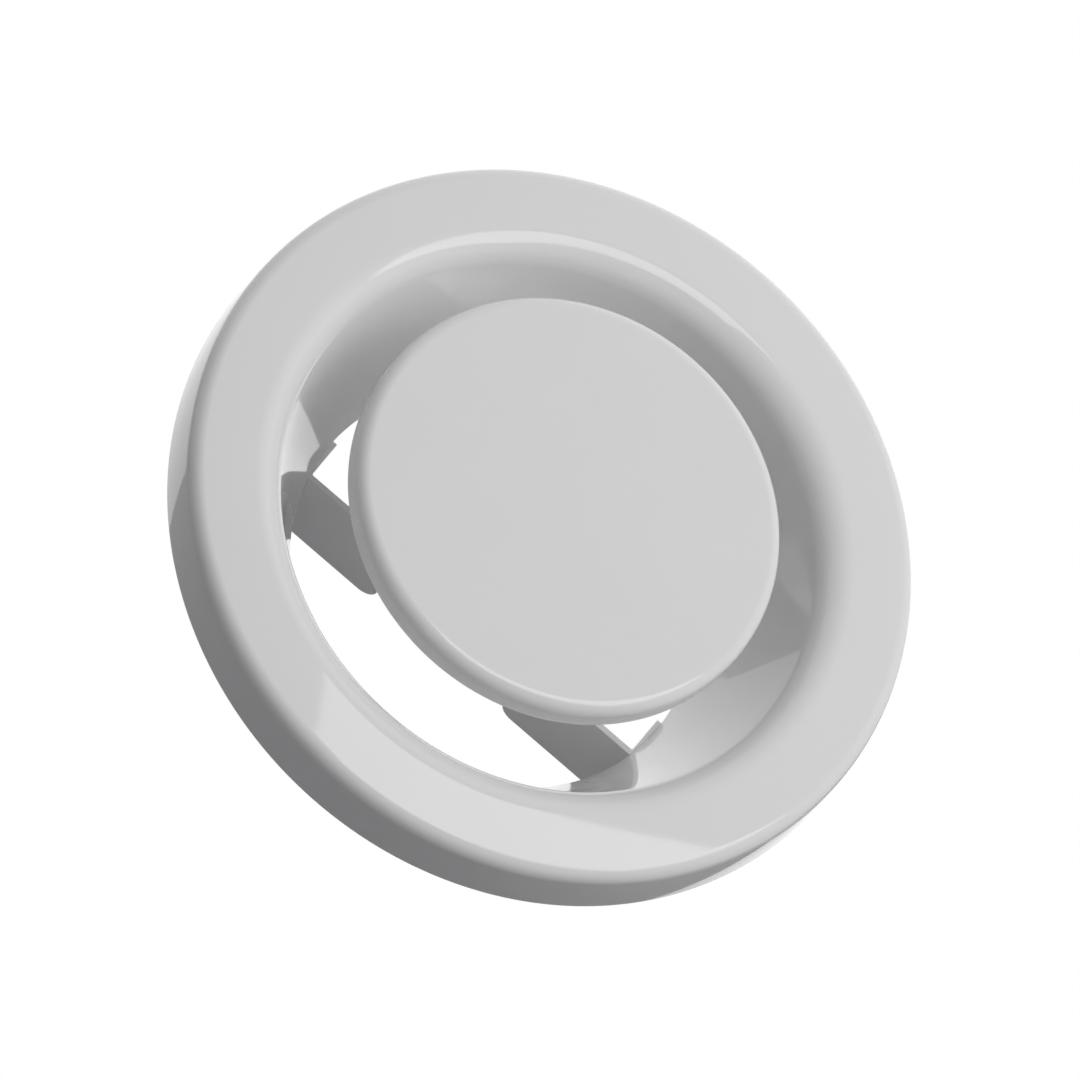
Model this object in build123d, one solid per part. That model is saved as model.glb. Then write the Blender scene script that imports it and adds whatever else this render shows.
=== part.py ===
"""Disc valve for ventilation: a pressed ring with a funnel throat, and a disc that screws in and out of it.

The valve hangs on a wall: its axis lies along Y, the room is at -Y, the duct is at +Y and Z is up.
Each piece is drawn about the valve's axis, with its height measured from the wall towards the room,
and is turned onto the wall at the end.
"""
from build123d import *
import math
import os

# Valve ring, pressed from one sheet
ring_diameter = 200.0
ring_depth = 19.2
ring_sheet = 1.0
outer_edge_radius = 4.1
face_inner_diameter = 164.0
lip_radius = 9.3
cone_half_angle = 23.6
throat_bore = 111.5

# Foam gasket behind the ring's face
gasket_lip_gap = 1.8
gasket_edge_gap = 0.3

# Valve disc, a pressed dish, and how far its rim stands off the ring's face
disc_diameter = 117.4
disc_depth = 8.4
disc_sheet = 1.0
disc_edge_radius = 3.6
disc_standoff = 3.8

# Travel of the disc on its spindle, from the place where it is set
closing_travel = 24.0
opening_travel = 6.0
spindle_end_gap = 0.6
least_engagement = 7.5

# Bridge, one blank on edge behind the throat: feet bent up at its ends, a flap folded up in its middle
bridge_sheet = 1.6
bridge_offset = 9.13
bridge_depth = 25.6
bridge_weld_gap = 0.05
foot_span = 109.3
foot_rise = 11.8
foot_bend_radius = 2.1
flap_setback = 19.0
flap_width = 34.0
flap_reach = 9.2
flap_bend_radius = 2.6
notch_width = 43.4
notch_setback = 16.0
notch_corner_radius = 4.4

# Spindle with its thread, nuts and washers
spindle_diameter = 8.0
thread_clearance = 0.05
spindle_tail = 3.0
spindle_end_chamfer = 0.8
bridge_hole_clearance = 0.2
nut_across_flats = 13.0
nut_height = 6.5
thin_nut_height = 4.0
nut_corner_cut = 0.6
nut_corner_slope = 1.7
tooth_washer_diameter = 15.0
tooth_washer_sheet = 0.8
tooth_count = 10
tooth_slot_width = 1.3
tooth_slot_depth = 1.7
spring_washer_diameter = 14.8
spring_washer_section = 2.0
spring_washer_slit = 0.9
spring_washer_slit_angle = 20.0
locking_gap = 0.2

# Threaded hub, welded to the back of the disc
hub_diameter = 13.0
hub_flange_diameter = 28.0
hub_flange_sheet = 2.0
hub_foot_radius = 1.5
hub_end_chamfer = 0.8

# Ring: where its sheet turns
ring_radius = ring_diameter / 2
face_inner_radius = face_inner_diameter / 2
throat_radius = throat_bore / 2
cone_angle = math.radians(cone_half_angle)
cone_top_radius = face_inner_radius - lip_radius * math.cos(cone_angle)
cone_top = ring_depth - lip_radius * (1 - math.sin(cone_angle))
throat_rear = cone_top - (cone_top_radius - throat_radius) / math.tan(cone_angle)

# Disc and hub: heights along the axis
disc_rim = ring_depth + disc_standoff
disc_front = disc_rim + disc_depth
disc_back = disc_front - disc_sheet
spindle_front = disc_back - closing_travel - spindle_end_gap
hub_rear = spindle_front - least_engagement - opening_travel
spring_washer_front = hub_rear - locking_gap
lock_nut_front = spring_washer_front - spring_washer_section

# Bridge and its fastenings: heights along the axis
bridge_front = throat_rear - bridge_weld_gap
bridge_rear = bridge_front - bridge_depth
flap_front = bridge_front - flap_setback
flap_back = flap_front - bridge_sheet
tooth_washer_back = flap_back - tooth_washer_sheet
spindle_rear = tooth_washer_back - nut_height - spindle_tail

# Thread: the rod's radius and the bore that runs on it
spindle_radius = spindle_diameter / 2
thread_bore_radius = spindle_radius + thread_clearance

ONTO_WALL = Rotation(90, 0, 0)


def sheet_profile(front_points, back_points, front_radii, sheet):
    """Section of a bent sheet between its front and back lines, with every bend rounded."""
    back_radii = [radius - sheet for radius in front_radii]
    front = FilletPolyline(*front_points, radius=front_radii)
    back = FilletPolyline(*back_points, radius=back_radii)
    start = Line(front_points[0], back_points[0])
    end = Line(front_points[-1], back_points[-1])
    return make_face([*front.edges(), *back.edges(), start.edge(), end.edge()])


def turned(section):
    """Solid of revolution of a section drawn as radius and height."""
    return revolve(Plane.XZ * section, Axis.Z, 360)


def tube(outer_radius, inner_radius, bottom, top):
    """Plain ring between two heights."""
    wall = Circle(outer_radius) - Circle(inner_radius)
    return extrude(Pos(0, 0, bottom) * wall, top - bottom)


def make_valve_ring():
    """Skirt, rounded edge, flat face, rolled lip and cone, all one pressed sheet."""
    tan_cone = math.tan(cone_angle)
    cone_shift = ring_sheet / math.cos(cone_angle)
    back_face = ring_depth - ring_sheet
    lip_corner = throat_radius + (ring_depth - throat_rear) * tan_cone
    back_lip_corner = throat_radius + (back_face - throat_rear) * tan_cone + cone_shift
    front = [
        (ring_radius, 0),
        (ring_radius, ring_depth),
        (lip_corner, ring_depth),
        (throat_radius, throat_rear),
    ]
    back = [
        (ring_radius - ring_sheet, 0),
        (ring_radius - ring_sheet, back_face),
        (back_lip_corner, back_face),
        (throat_radius + cone_shift, throat_rear),
    ]
    return turned(sheet_profile(front, back, [outer_edge_radius, lip_radius], ring_sheet))


def make_wall_gasket():
    """Foam ring stuck to the back of the flat face, level with the skirt's edge."""
    outer = ring_radius - outer_edge_radius - gasket_edge_gap
    inner = face_inner_radius + gasket_lip_gap
    return tube(outer, inner, 0, ring_depth - ring_sheet)


def make_valve_disc():
    """Pressed dish: flat front, rounded edge and a rim turned back."""
    radius = disc_diameter / 2
    front = [(radius, disc_rim), (radius, disc_front), (0, disc_front)]
    back = [(radius - disc_sheet, disc_rim), (radius - disc_sheet, disc_back), (0, disc_back)]
    return turned(sheet_profile(front, back, [disc_edge_radius], disc_sheet))


def make_disc_hub():
    """Turned sleeve with an internal thread and a flange that is welded to the disc."""
    flange_back = disc_back - hub_flange_sheet
    sleeve = tube(hub_diameter / 2, thread_bore_radius, hub_rear, flange_back)
    flange = tube(hub_flange_diameter / 2, thread_bore_radius, flange_back, disc_back)
    hub = sleeve + flange
    circles = hub.edges().filter_by(GeomType.CIRCLE)
    foot = [e for e in circles if abs(e.radius - hub_diameter / 2) < 0.01 and e.center().Z > flange_back - 0.01]
    hub = fillet(foot, hub_foot_radius)
    end = hub.edges().filter_by(GeomType.CIRCLE).group_by(Axis.Z)[0].sort_by(SortBy.RADIUS)[-1]
    return chamfer(end, hub_end_chamfer)


def make_spindle():
    """Threaded rod, drawn at the thread's outside diameter."""
    rod = extrude(Pos(0, 0, spindle_rear) * Circle(spindle_radius), spindle_front - spindle_rear)
    return chamfer(rod.edges().filter_by(GeomType.CIRCLE), spindle_end_chamfer)


def make_nut(bottom, height):
    """Hexagon nut with its corners turned off at both ends, a flat towards the floor."""
    corner_radius = nut_across_flats / math.sqrt(3)
    depth = (corner_radius - nut_across_flats / 2) * nut_corner_cut
    blank = extrude(Pos(0, 0, bottom) * RegularPolygon(corner_radius, 6), height)
    dome = extrude(Pos(0, 0, bottom) * Circle(corner_radius), height)
    dome = chamfer(dome.edges().filter_by(GeomType.CIRCLE), depth, nut_corner_slope * depth)
    bore = extrude(Pos(0, 0, bottom) * Circle(thread_bore_radius), height)
    return (blank & dome) - bore


def make_tooth_washer():
    """Lock washer with radial slots that leave a row of teeth round its edge."""
    radius = tooth_washer_diameter / 2
    washer = tube(radius, thread_bore_radius, tooth_washer_back, flap_back)
    middle = (tooth_washer_back + flap_back) / 2
    slot = Box(2 * tooth_slot_depth, tooth_slot_width, 2 * tooth_washer_sheet)
    slots = [
        Rotation(0, 0, 360 * tooth / tooth_count) * Pos(radius, 0, middle) * slot
        for tooth in range(tooth_count)
    ]
    return washer - slots


def make_spring_washer():
    """Split ring, drawn flat as it lies when the nut is tight."""
    washer = tube(spring_washer_diameter / 2, thread_bore_radius, lock_nut_front, spring_washer_front)
    middle = (lock_nut_front + spring_washer_front) / 2
    slit = Box(spring_washer_diameter, spring_washer_slit, 3 * spring_washer_section)
    slit = Rotation(spring_washer_slit_angle, 0, 0) * slit
    return washer - Pos(spring_washer_diameter / 2, 0, middle) * slit


def make_bridge():
    """Plate on edge with a foot at each end, and in its middle a flap across the axis for the spindle."""
    upper = -bridge_offset
    lower = upper - bridge_sheet
    foot_top = upper + foot_rise
    inner = foot_span / 2
    outer = inner + bridge_sheet
    outside = [(-outer, foot_top), (-outer, lower), (outer, lower), (outer, foot_top)]
    inside = [(-inner, foot_top), (-inner, upper), (inner, upper), (inner, foot_top)]
    strip = sheet_profile(outside, inside, [foot_bend_radius, foot_bend_radius], bridge_sheet)
    plate = extrude(Pos(0, 0, bridge_rear) * strip, bridge_depth)

    notch_front = bridge_front - notch_setback
    notch_depth = notch_front - bridge_rear
    notch = Box(notch_width, 4 * bridge_sheet, 2 * notch_depth)
    plate = plate - Pos(0, upper, bridge_rear) * notch
    crosswise = plate.edges().filter_by(Axis.Y).group_by(Axis.Z)[0]
    corners = [edge for edge in crosswise if abs(edge.center().X) < notch_width]
    plate = fillet(corners, notch_corner_radius)

    beneath = [(lower, bridge_front), (lower, flap_back), (flap_reach, flap_back)]
    above = [(upper, bridge_front), (upper, flap_front), (flap_reach, flap_front)]
    fold = sheet_profile(beneath, above, [flap_bend_radius], bridge_sheet)
    flap = Pos(-flap_width / 2, 0, 0) * extrude(Plane.YZ * fold, flap_width)
    hole = Pos(0, 0, flap_back) * Cylinder(spindle_radius + bridge_hole_clearance, 4 * bridge_sheet)
    return plate + flap - hole


PIECES = {
    "valve_ring": make_valve_ring(),
    "wall_gasket": make_wall_gasket(),
    "valve_disc": make_valve_disc(),
    "disc_hub": make_disc_hub(),
    "bridge": make_bridge(),
    "spindle": make_spindle(),
    "bridge_nut_front": make_nut(flap_front, thin_nut_height),
    "bridge_nut_rear": make_nut(tooth_washer_back - nut_height, nut_height),
    "bridge_washer": make_tooth_washer(),
    "lock_nut": make_nut(lock_nut_front - thin_nut_height, thin_nut_height),
    "spring_washer": make_spring_washer(),
}

os.makedirs("parts", exist_ok=True)
for name, piece in PIECES.items():
    export_step(ONTO_WALL * piece, f"parts/{name}.step")
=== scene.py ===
"""Disc valve: glossy white ring, disc and bridge, zinc-plated screw parts and a foam gasket.

The valve's axis lies along Y with the room at -Y; a piece turned about that axis is drawn as
radius and height, where height is measured from the wall towards the room.
"""
import bpy
import bmesh
import math
from mathutils import Matrix, Vector


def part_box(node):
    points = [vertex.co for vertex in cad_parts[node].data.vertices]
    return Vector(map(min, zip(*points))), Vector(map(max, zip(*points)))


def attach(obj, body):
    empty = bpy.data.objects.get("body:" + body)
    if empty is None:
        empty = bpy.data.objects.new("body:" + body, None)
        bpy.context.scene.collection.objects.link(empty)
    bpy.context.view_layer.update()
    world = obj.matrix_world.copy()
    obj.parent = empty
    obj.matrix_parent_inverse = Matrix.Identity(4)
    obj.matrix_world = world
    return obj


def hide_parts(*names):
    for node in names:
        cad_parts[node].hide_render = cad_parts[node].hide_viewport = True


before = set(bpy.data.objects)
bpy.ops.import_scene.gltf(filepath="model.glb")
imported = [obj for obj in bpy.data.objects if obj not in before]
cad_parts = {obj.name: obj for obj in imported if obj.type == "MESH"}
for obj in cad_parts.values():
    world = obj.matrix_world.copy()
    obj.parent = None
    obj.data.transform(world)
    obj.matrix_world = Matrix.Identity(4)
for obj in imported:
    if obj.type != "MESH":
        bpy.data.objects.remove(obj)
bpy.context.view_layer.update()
MM = 0.001
scene = bpy.context.scene

# Sizes in millimetres, the same as the solids'
RING_RADIUS = 100.0
RING_DEPTH = 19.2
SHEET = 1.0
OUTER_EDGE_RADIUS = 4.1
LIP_CENTRE_RADIUS = 82.0
LIP_RADIUS = 9.3
CONE_ANGLE = math.radians(23.6)
THROAT_RADIUS = 55.75
DISC_RADIUS = 58.7
DISC_RIM = 23.0
DISC_FRONT = 31.4
DISC_EDGE_RADIUS = 3.6
GASKET_OUTER = 95.6
GASKET_INNER = 83.8
SPINDLE_RADIUS = 4.0
THREAD_PITCH = 1.25
HUB_FLANGE_RADIUS = 14.0

# The ring's face, flat in the solids, leans outwards here: how far, and the radius where both agree
FACE_SLOPE = math.radians(4.2)
FACE_MIDDLE = 89.0

THROAT_REAR = (
    RING_DEPTH
    - LIP_RADIUS * (1 - math.sin(CONE_ANGLE))
    - (LIP_CENTRE_RADIUS - LIP_RADIUS * math.cos(CONE_ANGLE) - THROAT_RADIUS) / math.tan(CONE_ANGLE)
)

# The paint rounds the sheet's cut edges off to half its thickness
CUT_EDGE_RADIUS = SHEET / 2

# Bends sharper than this stay crisp, and points closer than this, in metres, become one
CRISP_ANGLE = math.radians(32)
SAME_POINT = 1e-7


class Sock:
    """A node socket, or a plain value, that can be added and multiplied."""

    def __init__(self, tree, value):
        self.tree = tree
        self.value = value

    def node(self, kind, out=0, settings=None, **inputs):
        """New node of any kind, with its settings and inputs, and one of its outputs as a Sock."""
        made = self.tree.nodes.new(kind)
        for key, setting in (settings or {}).items():
            setattr(made, key, setting)
        for key, value in inputs.items():
            numbered = key[0] == "i" and key[1:].isdigit()
            socket = made.inputs[int(key[1:]) if numbered else key]
            value = value.value if isinstance(value, Sock) else value
            if isinstance(value, bpy.types.NodeSocket):
                self.tree.links.new(value, socket)
            else:
                socket.default_value = value
        return Sock(self.tree, made.outputs[out])

    def math(self, operation, other):
        return self.node("ShaderNodeMath", settings={"operation": operation}, i0=self, i1=other)

    def __add__(self, other):
        return self.math("ADD", other)

    __radd__ = __add__

    def __sub__(self, other):
        return self.math("SUBTRACT", other)

    def __rsub__(self, other):
        return Sock(self.tree, other).math("SUBTRACT", self)

    def __mul__(self, other):
        return self.math("MULTIPLY", other)

    __rmul__ = __mul__

    def ramp(self, low, high, from_min=0.3, from_max=0.7):
        """This value carried linearly, and clamped, from a noise's usual range or another to a new."""
        return self.node("ShaderNodeMapRange", i0=self, i1=from_min, i2=from_max, i3=low, i4=high)

    def grey(self, tint=(1.0, 1.0, 1.0)):
        """A colour from this brightness and a tint."""
        parts = [self * channel for channel in tint]
        return self.node("ShaderNodeCombineColor", i0=parts[0], i1=parts[1], i2=parts[2])

    def into(self, shader, name):
        """Link this value to one of a shader's sockets."""
        self.tree.links.new(self.value, shader.inputs[name])


def new_material(name):
    """Empty Principled material: itself, its shader and its object coordinates."""
    material = bpy.data.materials.new(name)
    material.use_nodes = True
    tree = material.node_tree
    place = Sock(tree, 0.0).node("ShaderNodeTexCoord", out="Object")
    return material, tree.nodes["Principled BSDF"], place


def noise(place, scale, detail):
    """Fractal noise at a scale per metre."""
    return place.node("ShaderNodeTexNoise", Vector=place, Scale=scale, Detail=detail)


def bump(height, distance):
    """Normal of a height that reaches the given distance, in metres."""
    return height.node("ShaderNodeBump", Height=height, Distance=distance)


def white_paint():
    """Glossy powder coat: faint flow of colour, and an orange peel too fine to break a reflection."""
    material, shader, place = new_material("white_powder_coat")
    flow = noise(place, scale=38.0, detail=3.0)
    peel = noise(place, scale=520.0, detail=2.0)
    fine = noise(place, scale=1900.0, detail=1.0)
    flow.ramp(0.786, 0.796).grey().into(shader, "Base Color")
    fine.ramp(0.03, 0.05).into(shader, "Roughness")
    bump(peel, distance=4e-6).into(shader, "Normal")
    shader.inputs["IOR"].default_value = 1.5
    return material


def zinc_plate():
    """Bright zinc with cloudy patches and a fine grain."""
    material, shader, place = new_material("zinc_plate")
    cloud = noise(place, scale=90.0, detail=3.0)
    grain = noise(place, scale=3000.0, detail=1.0)
    cloud.ramp(0.62, 0.72).grey((0.98, 1.0, 1.02)).into(shader, "Base Color")
    cloud.ramp(0.24, 0.34).into(shader, "Roughness")
    bump(grain, distance=6e-7).into(shader, "Normal")
    shader.inputs["Metallic"].default_value = 1.0
    return material


def foam():
    """Dark closed-cell foam with pores of about half a millimetre, each darker in its sunk middle:
    painted shade.
    """
    material, shader, place = new_material("gasket_foam")
    pores = place.node("ShaderNodeTexVoronoi", Vector=place, Scale=1500.0)
    lumps = noise(place, scale=420.0, detail=3.0)
    # Painted shade: each pore is darker towards its sunk middle, times the foam's own faint random tone
    tone = pores.ramp(0.55, 1.0, from_min=0.1, from_max=0.6) * lumps.ramp(0.03, 0.06)
    tone.grey((1.0, 1.0, 1.05)).into(shader, "Base Color")
    lumps.ramp(0.82, 0.96).into(shader, "Roughness")
    height = pores.ramp(0.0, 1.0, from_min=0.0, from_max=0.55) + lumps * 0.6
    bump(height, distance=2.2e-4).into(shader, "Normal")
    return material


PAINT = white_paint()
ZINC = zinc_plate()
FOAM = foam()


def mesh_of(name, bm, material):
    """Mesh from a bmesh, which is used up, in one material."""
    mesh = bpy.data.meshes.new(name)
    bm.to_mesh(mesh)
    bm.free()
    mesh.materials.append(material)
    return mesh


def in_scene(name, data):
    """Object of some data, linked to the scene."""
    made = bpy.data.objects.new(name, data)
    scene.collection.objects.link(made)
    return made


def add_piece(name, mesh_builder, material, body, stands_for=()):
    """Piece from the bmesh that a function builds, smooth, on its body, hiding the solids it stands for.
    """
    bm = mesh_builder()
    bmesh.ops.recalc_face_normals(bm, faces=bm.faces[:])
    mesh = mesh_of(name, bm, material)
    mesh.shade_smooth()
    mesh.set_sharp_from_angle(angle=CRISP_ANGLE)
    piece = in_scene(name, mesh)
    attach(piece, body)
    if stands_for:
        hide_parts(*stands_for)
    return piece


def on_axis(radius, height, angle=0.0):
    """Point in the row frame, in metres, from radius, height and angle about the axis."""
    return Vector((radius * math.cos(angle) * MM, -height * MM, radius * math.sin(angle) * MM))


def arc(centre_radius, centre_height, radius, start, end, steps):
    """Points of an arc in the turned section, angles in degrees from the outward radius."""
    points = []
    for step in range(steps + 1):
        angle = math.radians(start + (end - start) * step / steps)
        across, along = radius * math.cos(angle), radius * math.sin(angle)
        points.append((centre_radius + across, centre_height + along))
    return points


def spun(profile, segments, closed=True):
    """Ring or dish turned from a section; a point on the axis becomes its middle."""
    bm = bmesh.new()
    verts = [bm.verts.new(on_axis(radius, height)) for radius, height in profile]
    edges = [bm.edges.new(pair) for pair in zip(verts, verts[1:])]
    if closed:
        edges.append(bm.edges.new((verts[-1], verts[0])))
    bmesh.ops.spin(
        bm, geom=verts + edges, cent=(0, 0, 0), axis=(0, 1, 0), dvec=(0, 0, 0),
        angle=2 * math.pi, steps=segments, use_merge=True,
    )
    bmesh.ops.remove_doubles(bm, verts=bm.verts[:], dist=SAME_POINT)
    return bm


def screwed(section, turn, steps, rise=0.0):
    """Closed bar: a section carried round the axis by an angle in degrees, rising to the front."""
    bm = bmesh.new()
    verts = [bm.verts.new(on_axis(radius, height)) for radius, height in section]
    edges = [bm.edges.new(pair) for pair in zip(verts, verts[1:] + verts[:1])]
    bmesh.ops.spin(
        bm, geom=verts + edges, cent=(0, 0, 0), axis=(0, 1, 0), dvec=(0, -rise * MM / steps, 0),
        angle=-math.radians(turn), steps=steps,
    )
    bmesh.ops.holes_fill(bm, edges=[edge for edge in bm.edges if edge.is_boundary], sides=0)
    return bm


def joined(*parts):
    """One bmesh from several."""
    whole = bmesh.new()
    for part in parts:
        mesh = bpy.data.meshes.new("part")
        part.to_mesh(mesh)
        part.free()
        whole.from_mesh(mesh)
        bpy.data.meshes.remove(mesh)
    return whole


def meeting(first_angle, first_reach, second_angle, second_reach):
    """Where two lines of a section cross, each given by its normal's angle and its reach along that."""
    rows = Matrix((
        (math.cos(first_angle), math.sin(first_angle)),
        (math.cos(second_angle), math.sin(second_angle)),
    ))
    return tuple(rows.inverted() @ Vector((first_reach, second_reach)))


def ring_shell():
    """Skirt, edge, sloping face, lip and cone as one turned sheet with rounded cut edges."""
    outward = 0.0
    forward = math.pi / 2 - FACE_SLOPE
    inward = math.pi - CONE_ANGLE
    face_reach = FACE_MIDDLE * math.cos(forward) + RING_DEPTH * math.sin(forward)
    throat_reach = THROAT_RADIUS * math.cos(inward) + THROAT_REAR * math.sin(inward)
    edge_centre = meeting(
        outward, RING_RADIUS - OUTER_EDGE_RADIUS, forward, face_reach - OUTER_EDGE_RADIUS
    )
    lip_centre = meeting(forward, face_reach - LIP_RADIUS, inward, throat_reach - LIP_RADIUS)
    skirt_end = (RING_RADIUS - CUT_EDGE_RADIUS, CUT_EDGE_RADIUS)
    throat_end = (
        THROAT_RADIUS + CUT_EDGE_RADIUS / math.cos(CONE_ANGLE) + CUT_EDGE_RADIUS * math.tan(CONE_ANGLE),
        THROAT_REAR + CUT_EDGE_RADIUS,
    )
    face_turn, throat_turn = math.degrees(forward), math.degrees(inward)
    profile = arc(*skirt_end, CUT_EDGE_RADIUS, 180, 360, steps=8)
    profile += arc(*edge_centre, OUTER_EDGE_RADIUS, 0, face_turn, steps=14)
    profile += arc(*lip_centre, LIP_RADIUS, face_turn, throat_turn, steps=16)
    profile += arc(*throat_end, CUT_EDGE_RADIUS, throat_turn, throat_turn + 180, steps=8)
    profile += arc(*lip_centre, LIP_RADIUS - SHEET, throat_turn, face_turn, steps=12)
    profile += arc(*edge_centre, OUTER_EDGE_RADIUS - SHEET, face_turn, 0, steps=10)
    return spun(profile, segments=288)


def disc_shell():
    """Pressed dish with a flat front, a rounded edge and a rim turned back to a rounded cut edge."""
    centre = (DISC_RADIUS - DISC_EDGE_RADIUS, DISC_FRONT - DISC_EDGE_RADIUS)
    rim_end = (DISC_RADIUS - CUT_EDGE_RADIUS, DISC_RIM + CUT_EDGE_RADIUS)
    profile = [(0.0, DISC_FRONT)]
    profile += arc(*centre, DISC_EDGE_RADIUS, 90, 0, steps=14)
    profile += arc(*rim_end, CUT_EDGE_RADIUS, 0, -180, steps=8)
    profile += arc(*centre, DISC_EDGE_RADIUS - SHEET, 0, 90, steps=10)
    profile += [(0.0, DISC_FRONT - SHEET)]
    return spun(profile, segments=256, closed=False)


def threaded_rod():
    """Rolled thread: a core with chamfered ends and one helical ridge that runs out at both ends."""
    lowest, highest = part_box("spindle")
    rear, front = -highest.y / MM, -lowest.y / MM
    root = SPINDLE_RADIUS - 0.62 * THREAD_PITCH
    chamfer = 0.7
    core = spun([
        (0.0, rear), (root - chamfer, rear), (root, rear + chamfer),
        (root, front - chamfer), (root - chamfer, front), (0.0, front),
    ], segments=40, closed=False)

    bare_end = 1.1
    start, end = rear + bare_end, front - bare_end
    half_foot, half_crest = 0.46 * THREAD_PITCH, 0.075 * THREAD_PITCH
    sunk_root = root - 0.06
    section = [
        (sunk_root, start - half_foot), (SPINDLE_RADIUS, start - half_crest),
        (SPINDLE_RADIUS, start + half_crest), (sunk_root, start + half_foot),
    ]
    turns = (end - start) / THREAD_PITCH
    steps_in_turn = 24
    ridge = screwed(section, 360 * turns, int(steps_in_turn * turns), end - start)
    for vert in ridge.verts:
        radius = math.hypot(vert.co.x, vert.co.z) / MM
        height = -vert.co.y / MM
        from_end = min(height - start, end - height) / THREAD_PITCH
        fade = max(0.0, min(1.0, from_end))
        if radius > root:
            faded = (root + (radius - root) * fade) / radius
            vert.co.x *= faded
            vert.co.z *= faded
    return joined(core, ridge)


def foam_ring():
    """Soft rectangular ring with rounded, slightly wavy edges, just clear of the sloping sheet."""
    lowest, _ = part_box("wall_gasket")
    clearance = 0.7
    front = -lowest.y / MM - clearance
    soft = 1.6
    profile = arc(GASKET_OUTER - soft, front - soft, soft, 0, 90, steps=5)
    profile += arc(GASKET_INNER + soft, front - soft, soft, 90, 180, steps=5)
    profile += arc(GASKET_INNER + soft, soft, soft, 180, 270, steps=5)
    profile += arc(GASKET_OUTER - soft, soft, soft, 270, 360, steps=5)
    bm = spun(profile, segments=240)

    middle = (GASKET_OUTER + GASKET_INNER) / 2 * MM
    deepest_wave = 0.012
    for vert in bm.verts:
        angle = math.atan2(vert.co.z, vert.co.x)
        radius = math.hypot(vert.co.x, vert.co.z)
        wave = 0.5 + 0.25 * math.sin(23 * angle + 0.7) + 0.25 * math.sin(41 * angle + 2.0)
        pulled = radius + (middle - radius) * deepest_wave * wave
        vert.co.x *= pulled / radius
        vert.co.z *= pulled / radius
    return bm


def weld_bead(radius, height, middle, spread, size):
    """Faintly rippled bead with rounded ends on part of a circle about the axis, angles in degrees."""
    ripple, ripple_height, steps_in_ripple = 1.3, 0.05, 10
    least_end = 0.2
    length = math.radians(spread) * radius
    section = arc(radius, height, size, 0, 330, steps=11)
    bead = screwed(section, spread, int(steps_in_ripple * length / ripple))
    for vert in bead.verts:
        angle = math.atan2(vert.co.z, vert.co.x)
        along = angle * radius
        line = on_axis(radius, height, angle)
        wave = 1.0 + ripple_height * math.cos(2 * math.pi * along / ripple)
        from_end = min(along, length - along) / size
        end = math.sqrt(max(least_end ** 2, 1.0 - max(0.0, 1.0 - from_end) ** 2))
        vert.co = line + (vert.co - line) * wave * end
    start = math.radians(spread / 2 - middle)
    bmesh.ops.rotate(bead, verts=bead.verts, cent=(0, 0, 0), matrix=Matrix.Rotation(start, 3, "Y"))
    return bead


def foot_beads():
    """Beads where the bridge's feet meet the throat's rear edge, on the outside."""
    circle = THROAT_RADIUS + SHEET
    height = THROAT_REAR - 0.05
    middles = (-3.2, 183.2)
    return joined(*[weld_bead(circle, height, middle, spread=9.6, size=0.85) for middle in middles])


def flange_beads():
    """Three short beads that hold the hub's flange on the back of the disc."""
    circle = HUB_FLANGE_RADIUS + 0.2
    height = DISC_FRONT - SHEET - 0.35
    middles = (90, 210, 330)
    return joined(*[weld_bead(circle, height, middle, spread=46, size=0.9) for middle in middles])


add_piece("ring_shell", ring_shell, PAINT, "frame", ("valve_ring",))
add_piece("disc_shell", disc_shell, PAINT, "disc", ("valve_disc",))
add_piece("threaded_rod", threaded_rod, ZINC, "frame", ("spindle",))
gasket = add_piece("foam_ring", foam_ring, FOAM, "frame", ("wall_gasket",))
add_piece("foot_beads", foot_beads, PAINT, "frame")
add_piece("flange_beads", flange_beads, PAINT, "disc")

FINISHES = {
    "bridge": PAINT,
    "disc_hub": ZINC,
    "bridge_nut_front": ZINC,
    "bridge_nut_rear": ZINC,
    "bridge_washer": ZINC,
    "lock_nut": ZINC,
    "spring_washer": ZINC,
}
for node, material in FINISHES.items():
    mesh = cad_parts[node].data
    mesh.materials.clear()
    mesh.materials.append(material)

# The photograph, in pixels: its width, half the ring's width in it, and how far the valve stands
# off its middle
PHOTO_WIDTH = 1080
RING_PIXELS = 386.5
VALVE_RIGHT, VALVE_UP = 8.25, 12.04

# Height on the axis, in millimetres, that the camera was fitted to, and its distance in metres
AIM_HEIGHT = 14.64
CAMERA_DISTANCE = 0.8


def photo_camera():
    """Parallel view from below and slightly to one side, rolled as in the photograph."""
    tilt, swing, roll = math.radians(31.2), math.radians(2.44), math.radians(42.77)
    pixel = RING_RADIUS / RING_PIXELS * MM
    along = Vector((0, -1, 0))
    across = Vector((math.cos(swing), 0, -math.sin(swing)))
    down = Vector((-math.sin(swing), 0, -math.cos(swing)))
    back = math.cos(tilt) * along + math.sin(tilt) * down
    fall = math.cos(tilt) * down - math.sin(tilt) * along
    right = math.cos(roll) * across - math.sin(roll) * fall
    up = -(math.sin(roll) * across + math.cos(roll) * fall)
    centre = Vector((0, -AIM_HEIGHT * MM, 0)) - right * VALVE_RIGHT * pixel - up * VALVE_UP * pixel
    data = bpy.data.cameras.new("photo_camera")
    data.type = "ORTHO"
    data.ortho_scale = PHOTO_WIDTH * pixel
    data.clip_start = 0.01
    data.clip_end = 20.0
    camera = in_scene("photo_camera", data)
    place = Matrix((right, up, back)).transposed().to_4x4()
    place.translation = centre + back * CAMERA_DISTANCE
    camera.matrix_world = place
    scene.camera = camera


photo_camera()


def seen_as_background(start):
    """One for a ray that shows the background, straight or mirrored, and nought for one that lights."""
    path = start.node("ShaderNodeLightPath").value.node
    camera, glossy, transmission = [
        Sock(start.tree, path.outputs[f"Is {kind} Ray"]) for kind in ("Camera", "Glossy", "Transmission")
    ]
    return camera.math("MAXIMUM", glossy).math("MAXIMUM", transmission)


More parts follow.
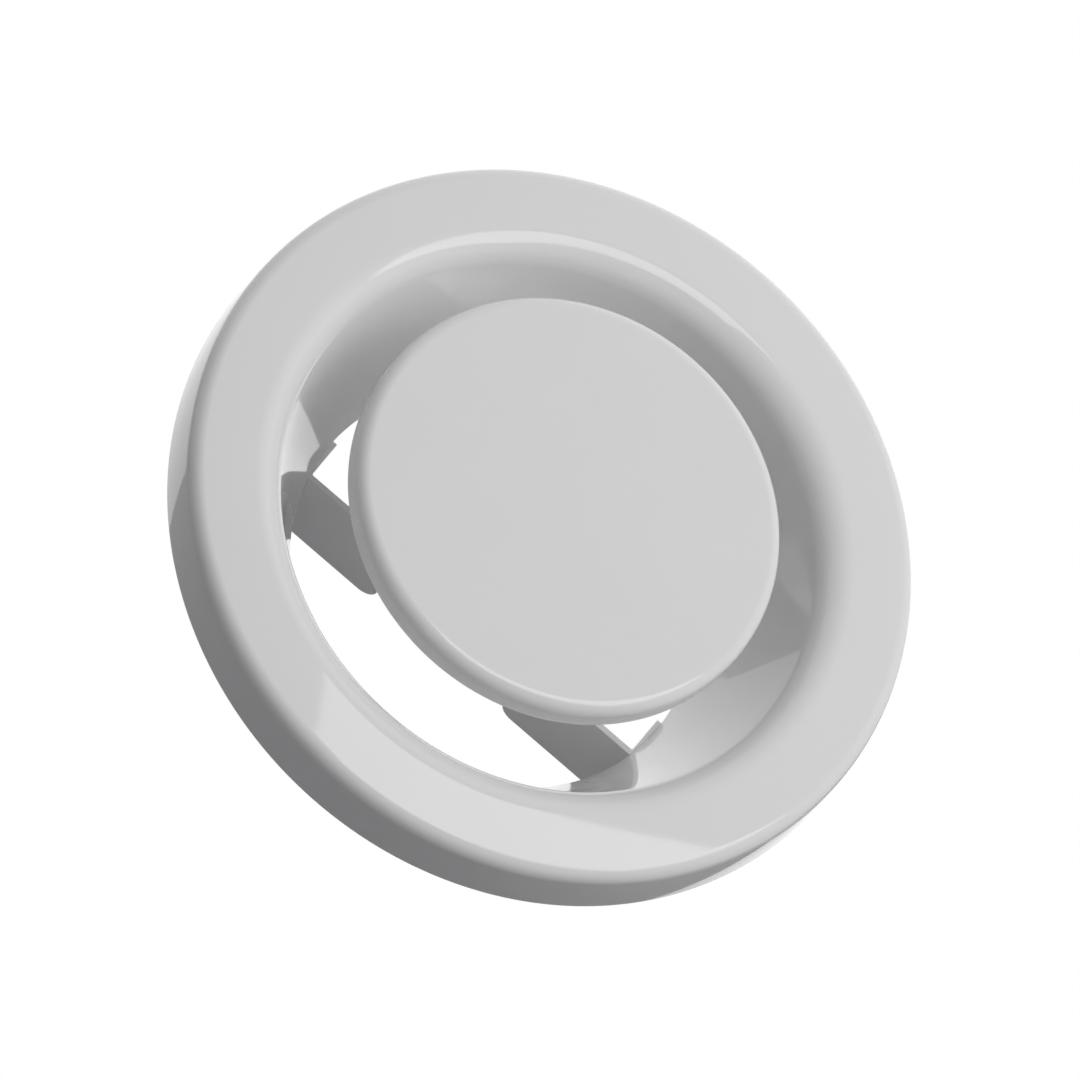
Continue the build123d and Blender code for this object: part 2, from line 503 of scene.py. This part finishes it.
# Faint blue of the floor and the cards
COOL = (0.99, 0.995, 1.02)

# The floor's height and half its width, in metres, and how much paler it is where it is seen
FLOOR_HEIGHT = -0.62
FLOOR_REACH = 6.0
FLOOR_SEEN = 0.6


def floor():
    """Floor well below the valve, pale where it is seen and darker in the light that it throws back."""
    material, shader, place = new_material("floor_paint")
    tone = noise(place, scale=3.0, detail=2.0).ramp(0.22, 0.24) + seen_as_background(place) * FLOOR_SEEN
    tone.grey(COOL).into(shader, "Base Color")
    shader.inputs["Roughness"].default_value = 0.9
    bm = bmesh.new()
    bmesh.ops.create_grid(bm, x_segments=1, y_segments=1, size=FLOOR_REACH)
    ground = in_scene("floor", mesh_of("floor", bm, material))
    ground.location = (0, 0, FLOOR_HEIGHT)


floor()


def softbox():
    """Large flat lamp in front of the valve, to the right of it and a little above."""
    data = bpy.data.lights.new("softbox", "AREA")
    data.shape = "RECTANGLE"
    data.size = 0.96
    data.size_y = 0.69
    data.energy = 5.5
    lamp = in_scene("softbox", data)
    way = Vector((0.30, -0.93, 0.19)).normalized()
    distance = 1.5
    lamp.location = way * distance
    lamp.rotation_euler = way.to_track_quat("Z", "Y").to_euler()
    lamp.visible_camera = False


softbox()

# Dark cards in one plane behind the valve: left, right, bottom and top edges in metres
DARK_CARDS = (
    ("low_card", -1.7, 1.6, -0.60, 0.05),
    ("right_card", 0.35, 1.6, 0.05, 0.75),
    ("left_card", -1.7, -0.92, 0.05, 0.42),
)
CARDS_BEHIND = 0.7


def dark_cards():
    """Cards, not seen by the camera, that the valve's gloss mirrors and that shade it from behind."""
    material, shader, place = new_material("dark_felt")
    noise(place, scale=60.0, detail=2.0).ramp(0.42, 0.48).grey(COOL).into(shader, "Base Color")
    shader.inputs["Roughness"].default_value = 1.0
    upright = Matrix.Rotation(math.pi / 2, 3, "X")
    for name, left, right, bottom, top in DARK_CARDS:
        bm = bmesh.new()
        bmesh.ops.create_grid(bm, x_segments=1, y_segments=1, size=0.5)
        bmesh.ops.rotate(bm, verts=bm.verts, cent=(0, 0, 0), matrix=upright)
        bmesh.ops.scale(bm, verts=bm.verts, vec=(right - left, 1.0, top - bottom))
        middle = ((left + right) / 2, CARDS_BEHIND, (bottom + top) / 2)
        bmesh.ops.translate(bm, verts=bm.verts, vec=middle)
        card = in_scene(name, mesh_of(name, bm, material))
        card.visible_camera = False


dark_cards()

# Soft lights of the studio: the way to each, and its brightness in the middle
SOFT_LIGHTS = (
    ((0.52, -0.78, 0.36), 2.75),
    ((-0.33, 0.16, 0.93), 2.0),
    ((-0.58, 0.61, 0.55), 2.4),
    ((0.14, 0.90, 0.40), 2.0),
    ((-0.92, 0.23, 0.31), 0.8),
)

# Light from everywhere else, and how fast each soft light fades away from its middle
AMBIENT = 0.09
FALL_OFF = 10.0


def studio_world():
    """White room seen directly and in reflections, with broad soft lights that shine on the valve."""
    world = bpy.data.worlds.new("studio")
    scene.world = world
    world.use_nodes = True
    tree = world.node_tree
    background = tree.nodes["Background"]
    start = Sock(tree, 0.0)
    way = start.node("ShaderNodeTexCoord", out="Generated")
    light = Sock(tree, AMBIENT)
    for towards, brightness in SOFT_LIGHTS:
        facing = way.node(
            "ShaderNodeVectorMath", "Value", {"operation": "DOT_PRODUCT"}, i0=way, i1=towards
        )
        light = light + facing.math("MAXIMUM", 0.0).math("POWER", FALL_OFF) * brightness
    seen = seen_as_background(start)
    strength = seen + (1.0 - seen) * light
    strength.into(background, "Strength")
    background.inputs["Color"].default_value = (1, 1, 1, 1)


studio_world()
scene.view_settings.view_transform = "Standard"
